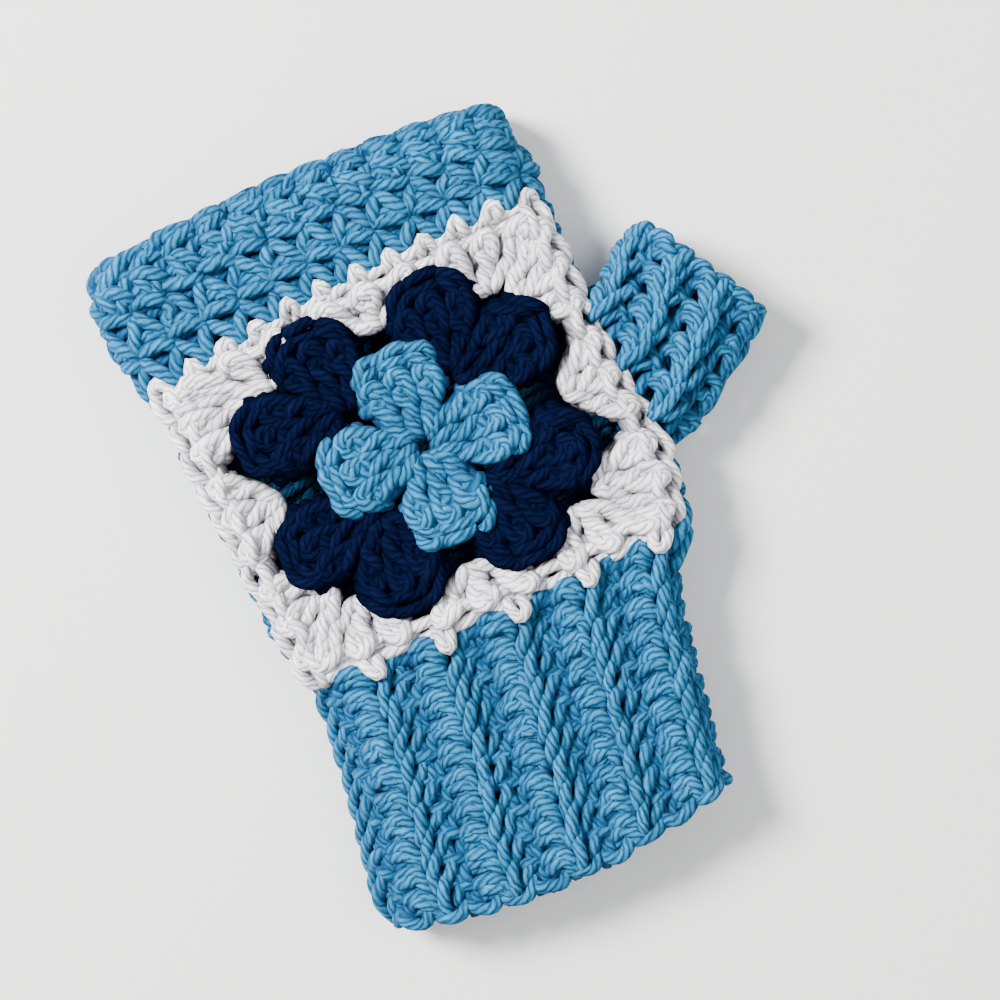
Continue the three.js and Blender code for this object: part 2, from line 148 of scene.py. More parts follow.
# Strands of a rib: across in shares of its pitch from the ridge, up in stitches along it, out in
# millimetres from RIB_LOW inside the middle of the wall.
RIB_RIDGE = ((-0.09, -0.5, -0.2), (-0.07, -0.18, 1.6), (-0.02, 0.28, 2.5), (0.03, 0.74, 2.3), (0.06, 1.1, 1.1),
             (0.07, 1.35, -0.4))
RIB = {
    "valley": ((0.08, -0.15, -0.5), (0.14, 0.1, 0.9), (0.22, 0.42, 1.0), (0.3, 0.68, 0.2), (0.35, 0.85, -0.9)),
    "under_valley": ((0.06, 0.75, -0.6), (0.22, 0.75, 0.2), (0.36, 0.65, 0.3), (0.5, 0.55, -0.6)),
    "back": ((0.46, -0.6, -0.7), (0.4, 0.0, -0.1), (0.46, 0.6, -0.7)),
}
RIB_FILL = {
    "under_arch": ((-0.54, -0.06, -1.0), (-0.44, 0.02, 0.0), (-0.32, 0.02, 0.5), (-0.22, -0.16, 0.3),
                   (-0.18, -0.5, -0.3)),
    "floor": ((0.25, -0.6, -0.7), (0.3, 0.0, -0.2), (0.25, 0.6, -0.7)),
}
RIB_ARCHES = {
    "upper": ((-0.58, 0.46, -0.9), (-0.49, 0.6, 0.6), (-0.38, 0.68, 1.6), (-0.27, 0.62, 2.1), (-0.185, 0.36, 2.0),
              (-0.15, 0.02, 1.4), (-0.14, -0.28, 0.2)),
    "lower": ((-0.56, 0.12, -0.9), (-0.48, 0.27, 0.6), (-0.38, 0.34, 1.5), (-0.28, 0.28, 1.9), (-0.2, 0.05, 1.8),
              (-0.17, -0.24, 1.1), (-0.16, -0.5, 0.0)),
}
RIB_LOW = 1.2
RIB_PHASE = 0.27  # of a rib's pitch, from the middle of the back towards the thumb

# A loop of the hem, in the rib's measures, but across in shares of half its pitch.
HEM_LOOP = ((-0.62, 0.1, -0.6), (-0.46, -0.2, 0.9), (-0.15, -0.42, 1.7), (0.18, -0.4, 1.5), (0.42, -0.12, 0.8),
            (0.58, 0.16, -0.6))

# One link of a chain: along in shares of its pitch, then out to either side and up, in shares of the
# yarn's thickness.
CHAIN_LINK = (
    (-0.12, 0.1, -0.5), (0.02, 0.38, 0.15), (0.35, 0.54, 0.5), (0.7, 0.66, 0.55), (1.0, 0.62, 0.25),
    (1.16, 0.42, -0.3), (1.2, 0.0, -0.55), (1.16, -0.42, -0.3), (1.0, -0.62, 0.25), (0.7, -0.66, 0.55),
    (0.35, -0.54, 0.5), (0.02, -0.38, 0.15), (-0.12, -0.1, -0.5),
)

# The strand that arches over a tall stitch's head and runs down its side: across in millimetres, up
# in shares of its height, out in millimetres.
POST_HEAD = (
    (-3.0, 0.66, -0.8), (-2.5, 0.78, 1.0), (-1.1, 0.93, 2.2), (0.9, 0.97, 2.4), (2.3, 0.82, 2.0), (2.3, 0.6, 1.3),
    (1.5, 0.38, 0.3),
)
POST_TURNS = 1.3  # of a tall stitch's two strands round each other
POST_CELL = (1.0, 18.0)  # millimetres that its across and up count

# White loops at the border's seams: across in shares of the next piece's stitch or rib, up in mm
# past the seam, out in mm. Bumps stand up in the band, drips hang over the cuff's ridges.
SEAM_BUMP = ((-0.22, -3.0, -0.4), (-0.17, -1.0, 1.2), (-0.08, 0.7, 1.8), (0.06, 1.2, 1.8), (0.15, 0.2, 1.5),
             (0.16, -1.6, 0.8), (0.12, -3.2, -0.6))
SEAM_DRIP = ((-0.1, 3.6, 0.0), (-0.09, 1.8, 1.5), (-0.05, -0.4, 2.2), (0.01, -1.8, 2.1), (0.06, -0.6, 1.9),
             (0.08, 1.4, 1.2), (0.08, 3.2, -0.4))


def mix(a, b, t):
    return a + (b - a) * t


def column(table, key, name, place):
    """A smooth value of one column of a table, by the rows' places in another."""
    keys = np.array(table[key])
    values = np.array(table[name])
    slopes = np.empty_like(values)
    slopes[1:-1] = (values[2:] - values[:-2]) / (keys[2:] - keys[:-2])
    slopes[0] = (values[1] - values[0]) / (keys[1] - keys[0])
    slopes[-1] = (values[-1] - values[-2]) / (keys[-1] - keys[-2])
    i = np.clip(np.searchsorted(keys, place, side="right") - 1, 0, len(keys) - 2)
    run = keys[i + 1] - keys[i]
    u = np.clip((place - keys[i]) / run, 0, 1)
    eased = u * u * (3 - 2 * u)
    bend = slopes[i] * u * (1 - u) ** 2 - slopes[i + 1] * u * u * (1 - u)
    return mix(values[i], values[i + 1], eased) + run * bend


def section(half, rise, share):
    """A flattened tube's section: x, z and the outward normal, share of the way round from its top."""
    flat = np.maximum(half - rise, 0)
    arc = pi * rise
    lap = 4 * flat + 2 * arc
    run = (share - np.floor(share)) * lap
    on_right = (run >= flat) & (run < flat + arc)
    under = (run >= flat + arc) & (run < 3 * flat + arc)
    on_left = (run >= 3 * flat + arc) & (run < 3 * flat + 2 * arc)
    angle = np.select([on_right, under, on_left], [(run - flat) / rise, pi, (run - 3 * flat) / rise], 0.0)
    x = np.select(
        [on_right, under, on_left, run < flat],
        [flat, 2 * flat + arc - run, -flat, run],
        run - lap,
    )
    nx, nz = np.sin(angle), np.cos(angle)
    curved = on_right | on_left
    return np.where(curved, x + rise * nx, x), rise * nz, np.where(curved, nx, 0), nz


class Hand:
    """The glove's form as it lies. Its points are in millimetres in the chart, x from the flower's
    centre line and y from the wrist edge."""

    def __init__(self, sizes):
        self.length = sizes.glove_length / MM
        self.width = sizes.hand_width / MM
        self.wall = sizes.wall / MM
        self.loft = sizes.loft / MM
        self.crown = sizes.crown / MM
        self.rise = (self.loft - self.wall) / 2
        flower_low, flower_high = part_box("flower_round")
        middle = [(a + b) / 2 / MM for a, b in zip(flower_low, flower_high)]
        # The way from the chart to the frame.
        self.shift = np.array([
            middle[0] - self.width * SQUARE_CENTRE[0], middle[1] - self.length * SQUARE_CENTRE[1], 0.0])

    def seam_at(self, seam, side):
        """The y of a seam, from its left fold at -1 to its right fold at 1."""
        lean = (seam["right"] - seam["left"]) / 2
        sag = (seam["right"] + seam["left"]) / 2 - seam["middle"]
        return self.length * (seam["middle"] + lean * side + sag * side * side)

    def run(self, lower, upper):
        """The way up the middle of the back from one seam to another."""
        return self.seam_at(upper, 0) - self.seam_at(lower, 0)

    def edges(self, y):
        """The x of the hand's left and right edges."""
        place = y / self.length
        return self.width * column(OUTLINE, "at", "left", place), self.width * column(OUTLINE, "at", "right", place)

    def crown_at(self, x, half, nz):
        """How far the back of the hand rises over its folds."""
        return np.where(nz > 0, self.crown * nz * (1 - np.minimum(1, (x / half) ** 2)), 0)

    def on_hand(self, lower, upper, t, share, out):
        """Points of the hand's tube between two seams, out from the middle of the wall."""
        ends = [mix(self.seam_at(lower, side), self.seam_at(upper, side), t) for side in (-1, 1)]
        left = self.edges(ends[0])[0]
        right = self.edges(ends[1])[1]
        half = (right - left - self.wall) / 2
        x, z, nx, nz = section(half, self.rise, share)
        side = np.clip(x / half, -1, 1)
        y = mix(self.seam_at(lower, side), self.seam_at(upper, side), t)
        up = self.loft / 2 + z + nz * out + self.crown_at(x, half, nz)
        return np.stack([(left + right) / 2 + x + nx * out, y, up], axis=-1)

    def on_back(self, x, y, out):
        """Points of the flat chart draped over the back of the hand and round its folds."""
        left, right = self.edges(y)
        half = (right - left - self.wall) / 2
        flat = half - self.rise
        middle = (left + right) / 2
        way = np.sign(x - middle)
        over = np.maximum(np.abs(x - middle) - flat, 0) / self.rise
        nx, nz = way * np.sin(over), np.cos(over)
        px = np.where(over > 0, way * flat + self.rise * nx, x - middle)
        up = self.loft / 2 + nz * (self.rise + out) + self.crown_at(px, half, nz)
        return np.stack([middle + px + nx * out, y + 0 * px, up], axis=-1)

    def fold_x(self, y, way, degrees):
        """The chart's x where the fold has turned this far from its top."""
        left, right = self.edges(y)
        flat = (right - left - self.wall) / 2 - self.rise
        return (left + right) / 2 + way * (flat + self.rise * radians(degrees))

    def lap(self, lower, upper):
        """The way round the hand's tube half way between two seams."""
        left, right = self.edges((self.seam_at(lower, 0) + self.seam_at(upper, 0)) / 2)
        return 2 * (right - left - self.wall - 2 * self.rise) + 2 * pi * self.rise

    def fold_share(self, degrees):
        """The share of the hand's section where its right fold has turned this far."""
        lap = self.lap(CUFF_SEAM, KNUCKLE_SEAM)
        flat = (lap - 2 * pi * self.rise) / 4
        return (flat + self.rise * radians(degrees)) / lap

    def on_thumb(self, along, share, out):
        """Points of the thumb's sleeve, from its base at 0 to its mouth at 1."""
        angle = np.radians(column(THUMB, "along", "turn", along))
        width = mix(THUMB_BASE, THUMB_MOUTH, column(THUMB, "along", "mouth", along))
        half = (width - self.wall) / 2
        x, z, nx, nz = section(half, self.rise, share)
        reach = -(x + nx * out)
        middle_x = self.width * THUMB_START[0] + THUMB_REACH * along
        middle_y = self.length * THUMB_START[1] + THUMB_REACH * column(THUMB, "along", "side", along)
        up = self.loft / 2 + z + nz * out + self.crown_at(x, half, nz) * 0.5
        return np.stack([middle_x - reach * np.sin(angle), middle_y + reach * np.cos(angle), up], axis=-1)

    def half_sides(self, row):
        """Half the width and height of one of the square's rounds."""
        return self.width * row["half"][0], self.run(CUFF_SEAM, KNUCKLE_SEAM) * row["half"][1]

    def charted(self, side, row, along, out):
        """The flat chart's point for a place on one of the square's four sides."""
        u = np.choose(side, [along, out, -along, -out])
        v = np.choose(side, [out, -along, -out, along])
        half_x, half_y = self.half_sides(row)
        x, y = row["shift"]
        return self.width * SQUARE_CENTRE[0] + x + half_x * u, self.length * SQUARE_CENTRE[1] + y + half_y * v


def smoothed(controls, per_gap=8):
    """A smooth line through each strand's control points: (strands, points, values) in and out."""
    first = 2 * controls[:, :1] - controls[:, 1:2]
    last = 2 * controls[:, -1:] - controls[:, -2:-1]
    c = np.concatenate([first, controls, last], axis=1)
    p0, p1, p2, p3 = (c[:, i:c.shape[1] - 3 + i, None] for i in range(4))
    u = np.linspace(0, 1, per_gap, endpoint=False)[None, None, :, None]
    line = 0.5 * (2 * p1 + (p2 - p0) * u + (2 * p0 - 5 * p1 + 4 * p2 - p3) * u**2 + (3 * (p1 - p2) + p3 - p0) * u**3)
    return np.concatenate([line.reshape(len(c), -1, c.shape[2]), controls[:, -1:]], axis=1)


def evenly(points, extra):
    """The same lines with equal steps along each of them, the extra values carried along, and the way
    run so far."""
    steps = np.linalg.norm(np.diff(points, axis=1), axis=2)
    run = np.concatenate([np.zeros((len(points), 1)), np.cumsum(steps, axis=1)], axis=1)
    count = max(int(round(run[:, -1].mean() / RING_GAP)), 4) + 1
    everything = np.concatenate([points, extra], axis=2)
    even = np.empty((len(points), count, everything.shape[2]))
    for i, line in enumerate(everything):
        at = np.linspace(0, run[i, -1], count)
        for k in range(line.shape[1]):
            even[i, :, k] = np.interp(at, run[i], line[:, k])
    return even[..., :3], even[..., 3:], np.linspace(0, 1, count)[None] * run[:, -1:]


# How a strand is swept, how it differs from a plain tube, and how its painted shade is measured.
SIDES = 10
RING_GAP = 1.15  # mm along it from one ring of points to the next
SIDE_SHADE = 2.7  # mm that its side counts as lower than its top, for its shade
FULL_FACING = 0.7  # how squarely its surface faces out where it counts as high as it lies
UNEVEN = 0.03  # share by which one strand is thicker than another
SWELL, SWELL_RUN = 0.04, 5.0  # share by which it swells and thins, and mm along it
END_TAPER, END_RUN = 0.28, 1.5  # share by which it narrows at its ends, and mm along it


class Yarn:
    """Strands of one colour, swept as round tubes and joined in one mesh."""

    def __init__(self, thickness, seed):
        self.radius = thickness / MM / 2
        self.random = np.random.default_rng(seed)
        self.parts = []
        self.vertices = 0

    def lay(self, table, origins, place, cell, loose=0.3, thick=1.0):
        """Strands with one table's path, one for each origin, placed by place(across, up, out). Cell is
        the millimetres that across and up count, and loose how far a point may wander, in millimetres."""
        table = np.array(table)
        controls = np.repeat(table[None], len(origins), axis=0)
        controls[..., :2] += np.asarray(origins)[:, None, :]
        wander = self.random.normal(0, loose, controls.shape)
        wander[..., 0] /= cell[0]
        wander[..., 1] /= cell[1]
        line = smoothed(controls + wander)
        # The table's out, without what place adds, is also the height that the painted shade reads: lower strands
        # are painted darker.
        self.sweep(lambda lift: place(line[..., 0], line[..., 1], line[..., 2] + lift), line[..., 2], thick)

    def sweep(self, line, out, thick=1.0):
        """Round tubes, closed at both ends, along the lines that line(lift) gives, which stand out
        from the middle of the wall."""
        points = line(0)
        points, extra, run = evenly(points, np.concatenate([out[..., None], line(1) - points], axis=2))
        out, outward = extra[..., 0], extra[..., 1:]
        strands, rings = points.shape[:2]

        tangent = np.gradient(points, axis=1)
        tangent /= np.linalg.norm(tangent, axis=2, keepdims=True)
        normal = np.empty_like(points)
        side = np.cross(tangent[:, 0], [0.3, 0.5, 0.8])  # a way that no strand starts in
        normal[:, 0] = side / np.linalg.norm(side, axis=1, keepdims=True)
        for i in range(1, rings):
            n = normal[:, i - 1] - tangent[:, i] * np.sum(normal[:, i - 1] * tangent[:, i], axis=1, keepdims=True)
            normal[:, i] = n / np.linalg.norm(n, axis=1, keepdims=True)
        across = np.cross(tangent, normal)

        girth = self.radius * thick * self.random.normal(1, UNEVEN, (strands, 1))
        swell = 1 + SWELL * np.sin(run / SWELL_RUN + self.random.uniform(0, 6, (strands, 1)))
        taper = np.minimum(1, 1 - END_TAPER + END_TAPER * np.minimum(run, run[:, -1:] - run) / END_RUN)
        radius = (girth * swell * taper)[..., None, None]
        angle = np.arange(SIDES) * 2 * pi / SIDES
        ring = np.cos(angle)[:, None] * normal[:, :, None] + np.sin(angle)[:, None] * across[:, :, None]
        vertices = points[:, :, None] + radius * ring
        # How squarely each point faces out of the wall. It only feeds the painted shade, in which a strand's sides
        # are painted darker than its top.
        facing = np.abs(np.sum(ring * outward[:, :, None], axis=3))  # the same on both sides of the wall

        index = np.arange(strands * rings * SIDES).reshape(strands, rings, SIDES) + self.vertices
        beside = np.roll(index, -1, axis=2)
        quads = np.stack([index[:, :-1], beside[:, :-1], beside[:, 1:], index[:, 1:]], axis=-1)
        caps = np.concatenate([index[:, 0, ::-1], index[:, -1]])
        around = np.arange(SIDES) / SIDES
        u0, u1, v0 = (np.broadcast_to(place, quads.shape[:3])
                      for place in (run[:, :-1, None], run[:, 1:, None], around))
        v1 = v0 + 1 / SIDES
        quad_uv = np.stack([np.stack(corner, -1) for corner in ((u0, v0), (u0, v1), (u1, v1), (u1, v0))], axis=-2)
        cap_uv = np.zeros((len(caps), SIDES, 2))
        cap_uv[..., 1] = around
        self.parts.append({
            "vertices": vertices.reshape(-1, 3),
            "loops": np.concatenate([quads.ravel(), caps.ravel()]),
            "sizes": np.concatenate([np.full(quads.size // 4, 4), np.full(len(caps), SIDES)]),
            "uv": np.concatenate([quad_uv.reshape(-1, 2), cap_uv.reshape(-1, 2)]),
            # The height that the painted shade reads: how far out it lies, less on the strand's sides.
            "proud": (out[..., None] + SIDE_SHADE * (facing - FULL_FACING)).reshape(-1),
            "tint": np.repeat(self.random.uniform(0, 1, strands), rings * SIDES),
        })
        self.vertices += vertices.size // 3

    def knit(self, node, material, shift):
        """One mesh of all the strands, which stands for its node of the frame."""
        name = f"yarn_{node}"

        def joined(key):
            return np.concatenate([part[key] for part in self.parts])

        vertices = (joined("vertices") + shift) * MM
        vertices[:, 2] = np.maximum(vertices[:, 2], 0.0)  # nothing goes through the floor
        loops, sizes = joined("loops"), joined("sizes")
        mesh = bpy.data.meshes.new(name)
        mesh.vertices.add(len(vertices))
        mesh.vertices.foreach_set("co", vertices.astype(np.float32).ravel())
        mesh.loops.add(len(loops))
        mesh.loops.foreach_set("vertex_index", loops.astype(np.int32))
        mesh.polygons.add(len(sizes))
        mesh.polygons.foreach_set("loop_start", (np.cumsum(sizes) - sizes).astype(np.int32))
        mesh.update(calc_edges=True)
        uv = mesh.uv_layers.new(name="along_and_round")
        uv.data.foreach_set("uv", joined("uv").astype(np.float32).ravel())
        # proud carries the height that the material's painted shade reads; tint the strands' own small differences
        # of colour.
        for key in ("proud", "tint"):
            attribute = mesh.attributes.new(key, "FLOAT", "POINT")
            attribute.data.foreach_set("value", joined(key).astype(np.float32))
        mesh.polygons.foreach_set("use_smooth", np.ones(len(mesh.polygons), dtype=bool))
        mesh.validate()
        mesh.materials.append(material)
        piece = bpy.data.objects.new(name, mesh)
        bpy.context.scene.collection.objects.link(piece)
        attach(piece, "root")
        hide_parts(node)


def grid(columns, rows, shifts=(0.0,)):
    """Origins of a grid of stitches, each row shifted by its share of a stitch."""
    return np.array([[i + shifts[j % len(shifts)], j] for j in range(rows) for i in range(columns)], dtype=float)


def linear(hex_colour):
    """A linear colour from an sRGB hex string."""
    channels = [int(hex_colour[i:i + 2], 16) / 255 for i in (1, 3, 5)]
    return [c / 12.92 if c <= 0.04045 else ((c + 0.055) / 1.055) ** 2.4 for c in channels] + [1.0]


def node(tree, kind, links=(), **settings):
    """Adds a node. Settings are its properties, or its sockets' values by name. Links feed its
    sockets, by name or number: from a socket, from a node's only output, or with a value."""
    made = tree.nodes.new(kind)
    for name, value in settings.items():
        if hasattr(made, name):
            setattr(made, name, value)
        else:
            made.inputs[name.replace("_", " ")].default_value = value
    for socket, source in links:
        if isinstance(source, bpy.types.Node):
            source = source.outputs[0]
        if isinstance(source, bpy.types.NodeSocket):
            tree.links.new(source, made.inputs[socket])
        else:
            made.inputs[socket].default_value = source
    return made


def acrylic_yarn(name, bright, middle, painted_shade, sheen, thickness, plies=5, lay_angle=40.0, relief=0.4):
    """Soft spun acrylic yarn: plies laid at an angle give fine slanting lines, with painted shade between
    them and a painted highlight on their tops, beside the bump, and loose surface fibres give a dull sheen
    at the edges. Thickness and relief are in millimetres, and lay_angle is the plies' slant in degrees."""
    material = bpy.data.materials.new(name)
    material.use_nodes = True
    tree = material.node_tree
    tree.nodes.clear()
    maths = "ShaderNodeMath"
    turn = pi * thickness / np.tan(radians(lay_angle))  # mm of yarn in one turn of a ply
    place = node(tree, "ShaderNodeUVMap", uv_map="along_and_round")
    split = node(tree, "ShaderNodeSeparateXYZ", [("Vector", place)])
    along, share = split.outputs["X"], split.outputs["Y"]
    turned = node(tree, maths, [(0, along), (1, turn / plies)], operation="DIVIDE")
    around = node(tree, maths, [(0, share), (1, plies)], operation="MULTIPLY")
    ruled = node(tree, maths, [(0, turned), (1, around)], operation="ADD")
    tint = node(tree, "ShaderNodeAttribute", attribute_name="tint")
    tint_far = node(tree, maths, [(0, tint.outputs["Fac"]), (1, 60.0)], operation="MULTIPLY")

    # The plies wander, so their lines aren't ruled.
    wander_place = node(tree, "ShaderNodeCombineXYZ", [("X", along), ("Y", around), ("Z", tint_far)])
    wander = node(tree, "ShaderNodeTexNoise", [("Vector", wander_place)], Scale=0.4, Detail=2.0)
    shift = node(tree, maths, [(0, wander.outputs["Fac"]), (1, 1.2)], operation="MULTIPLY")
    phase = node(tree, maths, [(0, ruled), (1, shift)], operation="ADD")
    wave_place = node(tree, maths, [(0, phase), (1, pi)], operation="MULTIPLY")
    wave = node(tree, maths, [(0, wave_place)], operation="SINE")
    ply = node(tree, maths, [(0, wave)], operation="ABSOLUTE")

    # Fibres run with the plies, fine across them and long along them. Real ones are too fine to show,
    # so these are drawn several times as coarse.
    across_plies = node(tree, maths, [(0, phase), (1, 2.4)], operation="MULTIPLY")
    along_plies = node(tree, maths, [(0, along), (1, 0.55)], operation="MULTIPLY")
    fibre_place = node(tree, "ShaderNodeCombineXYZ", [("X", across_plies), ("Y", along_plies), ("Z", tint_far)])
    fibres = node(tree, "ShaderNodeTexNoise", [("Vector", fibre_place)], Scale=1.0, Detail=4.0, Roughness=0.7)
    height = node(tree, "ShaderNodeMix", [("A", ply), ("B", fibres.outputs["Fac"])], Factor=0.5)
    # The plies' and fibres' height is painted as light and shade: painted shade in the grooves and a painted
    # highlight on the tops, beside the bump that the height also feeds.
    shade = node(tree, "ShaderNodeValToRGB", [("Fac", height.outputs["Result"])])
    ramp = shade.color_ramp
    ramp.elements[0].position, ramp.elements[0].color = 0.16, painted_shade
    ramp.elements[1].position, ramp.elements[1].color = 0.82, bright
    ramp.elements.new(0.46).color = middle

    # Painted shade: yarn that lies low between its neighbours, or on a strand's side, is painted darker, from 2.3 mm
    # out of the middle of the wall to 1.2 mm in. Each strand differs a little, and so does each fibre.
    proud = node(tree, "ShaderNodeAttribute", attribute_name="proud")
    low = node(tree, "ShaderNodeMapRange", [("Value", proud.outputs["Fac"])],
               From_Min=-1.2, From_Max=2.3, To_Min=0.0, To_Max=1.0)
    painted_crevice_shade = node(tree, "ShaderNodeMix", [("Factor", low), ("A", painted_shade), ("B", shade.outputs["Color"])],
                data_type="RGBA")
    strand = node(tree, "ShaderNodeMapRange", [("Value", tint.outputs["Fac"])], To_Min=0.86, To_Max=1.12)
    streak = node(tree, "ShaderNodeMapRange", [("Value", fibres.outputs["Fac"])],
                  From_Min=0.3, From_Max=0.7, To_Min=0.72, To_Max=1.25)
    value = node(tree, maths, [(0, strand), (1, streak)], operation="MULTIPLY")
    varied = node(tree, "ShaderNodeHueSaturation", [("Value", value), ("Color", painted_crevice_shade.outputs["Result"])])
    bump = node(tree, "ShaderNodeBump", [("Height", height.outputs["Result"])], Strength=1.0, Distance=relief * MM)
    surface = node(tree, "ShaderNodeBsdfPrincipled", [("Base Color", varied), ("Normal", bump)], Roughness=0.85,
                   Sheen_Weight=sheen, Sheen_Roughness=0.5, Specular_IOR_Level=2 * sheen)
    node(tree, "ShaderNodeOutputMaterial", [("Surface", surface)])
    return material


def yarn_colour(which):
    """The material for one of the glove's three yarns, made once."""
    scene = bpy.context.scene
    name = f"{which}_acrylic_yarn"
    if name in bpy.data.materials:
        return bpy.data.materials[name]
    # The tones run from the painted highlight on the plies' tops, through the middle tone, to the painted shade.
    tones = [getattr(scene.glove_colours, f"{which}_{tone}") for tone in ("bright", "middle", "painted_shade")]
    sheen = 0.0 if which == "navy" else 0.02  # any sheen greys a navy this dark
    return acrylic_yarn(name, *tones, sheen, scene.glove_sizes.yarn / MM)


def length(name, description, default, least, most):
    """One of the glove's sizes, in metres, as a property."""
    return FloatProperty(name=name, description=description, default=default, min=least, max=most, unit="LENGTH")


class GloveSizes(bpy.types.PropertyGroup):
    """Real sizes of the glove as it lies."""

    glove_length: length("Glove length", "From the wrist edge to the knuckle edge", 0.176, 0.1, 0.3)
    hand_width: length("Hand width", "Across the hand, without the thumb", 0.1, 0.05, 0.2)
    wall: length("Wall", "Thickness of the crocheted wall", 0.005, 0.002, 0.01)
    loft: length("Loft", "Height of the glove as it lies", 0.018, 0.01, 0.05)
    crown: length("Crown", "Rise of the back of the hand over its folds", 0.0012, 0.0, 0.01)
    yarn: length("Yarn thickness", "Across one strand", 0.0031, 0.001, 0.006)
    stitch: length("Stitch width", "Of the band's and the palm's stitches", 0.0088, 0.004, 0.02)
    rib: length("Rib pitch", "From one ridge of the cuff to the next", 0.0165, 0.008, 0.03)
    rib_stitch: length("Rib stitch", "Along a ridge, from one stitch to the next", 0.0063, 0.003, 0.012)


def yarn_tone(name, description, hex_colour):
    """One of a yarn's tones, as a property with a colour field."""
    return FloatVectorProperty(name=name, description=description, default=linear(hex_colour), size=4, min=0, max=1,
                               subtype="COLOR")


class GloveColours(bpy.types.PropertyGroup):
    """Colours of the three yarns: a painted highlight on top of the plies, a middle tone on their sides, and painted
    shade between them and deep in the fabric.
    """

    # Each yarn's first tone is a painted highlight on the plies' tops, and its last is painted shade, between plies
    # and under neighbouring strands.
    light_blue_bright: yarn_tone("Light blue, bright", "On top of the plies", "#3681A9")
    light_blue_middle: yarn_tone("Light blue, middle", "On the plies' sides", "#195378")
    light_blue_painted_shade: yarn_tone("Light blue, deep", "Between plies", "#0B345A")
    navy_bright: yarn_tone("Navy, bright", "On top of the plies", "#0A102B")
    navy_middle: yarn_tone("Navy, middle", "On the plies' sides", "#060B22")
    navy_painted_shade: yarn_tone("Navy, deep", "Between plies", "#030616")
    white_bright: yarn_tone("White, bright", "On top of the plies", "#FCFBFC")
    white_middle: yarn_tone("White, middle", "On the plies' sides", "#DCD9DE")
    white_painted_shade: yarn_tone("White, deep", "Between plies", "#69646F")


class YarnPiece:
    """What the operators that lay a piece of yarn share."""

    bl_options = {"REGISTER"}

    def execute(self, context):
        sizes = context.scene.glove_sizes
        hand = Hand(sizes)
        yarn = Yarn(sizes.yarn, seed=self.seed)
        self.stitches(hand, yarn, sizes)
        yarn.knit(self.node, yarn_colour(self.colour), hand.shift)
        return {"FINISHED"}


def lay_stitches(yarn, strands, origins, place, cell, thick=1.0):
    """Every strand of a stitch, once at each origin."""
    for strand in strands.values():
        yarn.lay(strand, origins, place, cell, thick=thick)


def lay_line(yarn, place, low, t, share, thick=1.3):
    """A straight strand along or round the hand, low in the wall, that closes a seam."""
    yarn.sweep(lambda lift: place(t, share, lift + low), 0 * t + low, thick)


def lay_ribs(yarn, ribs, rows, place, cell, ridge_rows, close=True):
    """Ribs worked sideways: a ridge of slanting loops, plump arches that lean on it, and a valley.
    Close ribs have strands under the arches that fill the pits between them."""
    origins = grid(ribs, rows)
    yarn.lay(RIB_RIDGE, grid(ribs, ridge_rows), place, cell)
    lay_stitches(yarn, RIB, origins, place, cell)
    if close:
        lay_stitches(yarn, RIB_FILL, origins, place, cell)
    lay_stitches(yarn, RIB_ARCHES, origins, place, cell, thick=1.05)


def lay_chain(yarn, links, place, pitch=8.0, spread=1.0):
    """A chain of links, each from its place along the line that place lays out. Pitch is a link's
    length in millimetres, and spread how wide the links are for the yarn."""
    table = np.array(CHAIN_LINK)
    table[:, 1:] *= 2 * yarn.radius
    table[:, 1] *= spread
    yarn.lay(table, np.array([[i, 0.0] for i in links]), place, (pitch, 1.0))


class GLOVE_OT_wrist_cuff(YarnPiece, bpy.types.Operator):
    """Lay the ribbed cuff"""

    bl_idname = "glove.wrist_cuff"
    bl_label = "Wrist cuff"
    seed, node, colour = 11, "wrist_cuff", "light_blue"

    def stitches(self, hand, yarn, sizes):
        ribs = round(hand.lap(WRIST_EDGE, CUFF_SEAM) * MM / sizes.rib)
        run = hand.run(WRIST_EDGE, CUFF_SEAM)
        rows = round(run * MM / sizes.rib_stitch)
        on_cuff = partial(hand.on_hand, WRIST_EDGE, CUFF_SEAM)

        def place(across, up, out):
            proud = 0.5 * np.clip(up - rows + 1.5, 0, 1)  # mm that the last row stands out more
            return on_cuff((up + 0.5) / rows, (across + RIB_PHASE) / ribs, out - RIB_LOW + proud)

        cell = (sizes.rib / MM, run / rows)
        lay_ribs(yarn, ribs, rows, place, cell, ridge_rows=rows - 1)
        loops = 2 * ribs

        def at_hem(across, up, out):
            return place(across * ribs / loops, up, out)

        yarn.lay(HEM_LOOP, grid(loops, 1), at_hem, cell)
        lap = np.linspace(0, 1, 120)[None]
        lay_line(yarn, on_cuff, -1.0, 0 * lap + 0.99, lap)

        # Two plump loops more stand at the top of the right fold.
        def at_fold(across, up, out):
            return place(across + hand.fold_share(60) * ribs - RIB_PHASE, up, out + RIB_LOW)

        yarn.lay(RIB_RIDGE, np.array([[0.0, rows - 1.5], [0.0, rows - 0.6]]), at_fold, cell, thick=1.2)


